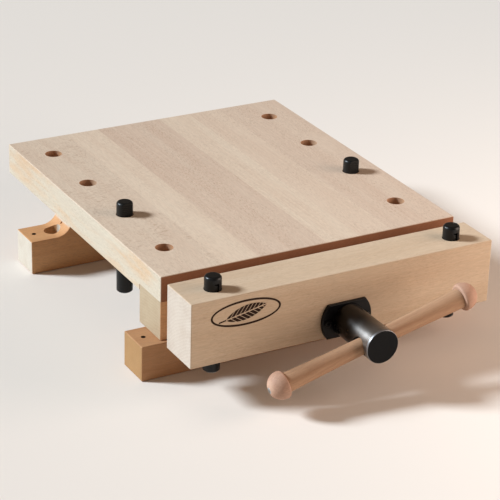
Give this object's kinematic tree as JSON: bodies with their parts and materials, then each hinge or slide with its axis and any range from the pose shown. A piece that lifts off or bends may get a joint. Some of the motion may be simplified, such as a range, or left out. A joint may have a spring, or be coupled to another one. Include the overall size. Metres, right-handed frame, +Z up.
{
  "type": "tabletop workbench",
  "caption": "Benchtop woodworking station: laminated top with dog holes on two cross feet, with a full-width front vise, guide rods, screw, sliding handle and round dogs.",
  "frame": {"origin": "on the table, under the middle of the bounding box", "axes": "+Z up; +X along the jaw to the right as seen from the handle; +Y from the vise to the rear foot"},
  "size_m": [0.423, 0.568, 0.1335],
  "materials": {
    "beech_light": "fine sanded, oiled",
    "beech_pink": "fine sanded, oiled",
    "beech_warm": "planed, oiled",
    "beech_handle": "turned, oiled",
    "black_steel": "satin black",
    "bright_steel": "ground, oiled",
    "zinc_screws": "zinc plated",
    "dog_plastic": "moulded, matte",
    "bushing_plastic": "moulded, matte"
  },
  "bodies": {
    "bench": {"worktop_stave_1": "beech_light", "worktop_stave_2": "beech_light", "worktop_stave_3": "beech_pink", "worktop_stave_4": "beech_pink", "worktop_stave_5": "beech_light", "worktop_stave_6": "beech_light", "worktop_stave_7": "beech_light", "front_rail": "beech_warm", "front_foot": "beech_warm", "rear_foot": "beech_warm", "nut_plate": "black_steel", "nut_plate_screw_left": "zinc_screws", "nut_plate_screw_right": "zinc_screws", "guide_bushing_left": "bushing_plastic", "guide_bushing_right": "bushing_plastic", "front_foot_screw_left": "zinc_screws", "front_foot_screw_right": "zinc_screws", "rear_foot_screw_left": "zinc_screws", "rear_foot_screw_right": "zinc_screws"},
    "vise": {"vise_jaw": "beech_light", "flange_plate": "black_steel", "flange_screw_left": "black_steel", "flange_screw_right": "black_steel", "guide_rod_left": "bright_steel", "guide_rod_right": "bright_steel", "rod_lock_screw_left": "zinc_screws", "rod_lock_screw_right": "zinc_screws", "rod_yoke": "black_steel", "yoke_screw_left": "zinc_screws", "yoke_screw_right": "zinc_screws"},
    "screw": {"screw_spindle": "bright_steel", "screw_hub": "black_steel", "hub_end_cap": "black_steel", "thrust_washer": "black_steel", "retaining_collar": "bright_steel", "collar_lock_screw": "zinc_screws", "hub_lock_screw": "zinc_screws"},
    "handle": {"handle_bar": "beech_handle", "handle_knob_left": "beech_handle", "handle_knob_right": "beech_handle", "knob_screw_left": "zinc_screws", "knob_screw_right": "zinc_screws"},
    "bench_dog_body_left": {"bench_dog_left": "dog_plastic", "bench_dog_spring_left": "dog_plastic"},
    "bench_dog_body_right": {"bench_dog_right": "dog_plastic", "bench_dog_spring_right": "dog_plastic"},
    "jaw_dog_body_left": {"jaw_dog_left": "dog_plastic", "jaw_dog_spring_left": "dog_plastic"},
    "jaw_dog_body_right": {"jaw_dog_right": "dog_plastic", "jaw_dog_spring_right": "dog_plastic"}
  },
  "joints": [
    {"name": "jaw_slide", "type": "slide", "parent": "bench", "child": "vise", "axis": [0, -1, 0], "range_m": [-0.0175, 0.092]},
    {"name": "screw_turn", "type": "hinge", "parent": "vise", "child": "screw", "pos_m": [0, -0.234, 0.062], "axis": [0, -1, 0], "range_deg": [-1265, 6630]},
    {"name": "handle_slide", "type": "slide", "parent": "screw", "child": "handle", "axis": [0.9711, 0, 0.2385], "range_m": [-0.091, 0.091]},
    {"name": "bench_dog_lift_left", "type": "slide", "parent": "bench", "child": "bench_dog_body_left", "axis": [0, 0, 1], "range_m": [-0.015, 0.055]},
    {"name": "bench_dog_lift_right", "type": "slide", "parent": "bench", "child": "bench_dog_body_right", "axis": [0, 0, 1], "range_m": [-0.015, 0.055]},
    {"name": "jaw_dog_lift_left", "type": "slide", "parent": "vise", "child": "jaw_dog_body_left", "axis": [0, 0, 1], "range_m": [-0.015, 0.055]},
    {"name": "jaw_dog_lift_right", "type": "slide", "parent": "vise", "child": "jaw_dog_body_right", "axis": [0, 0, 1], "range_m": [-0.015, 0.055]}
  ],
  "couplings": [
    {"joint": "screw_turn", "follows": "jaw_slide", "rad_per_m": 1256.6}
  ]
}
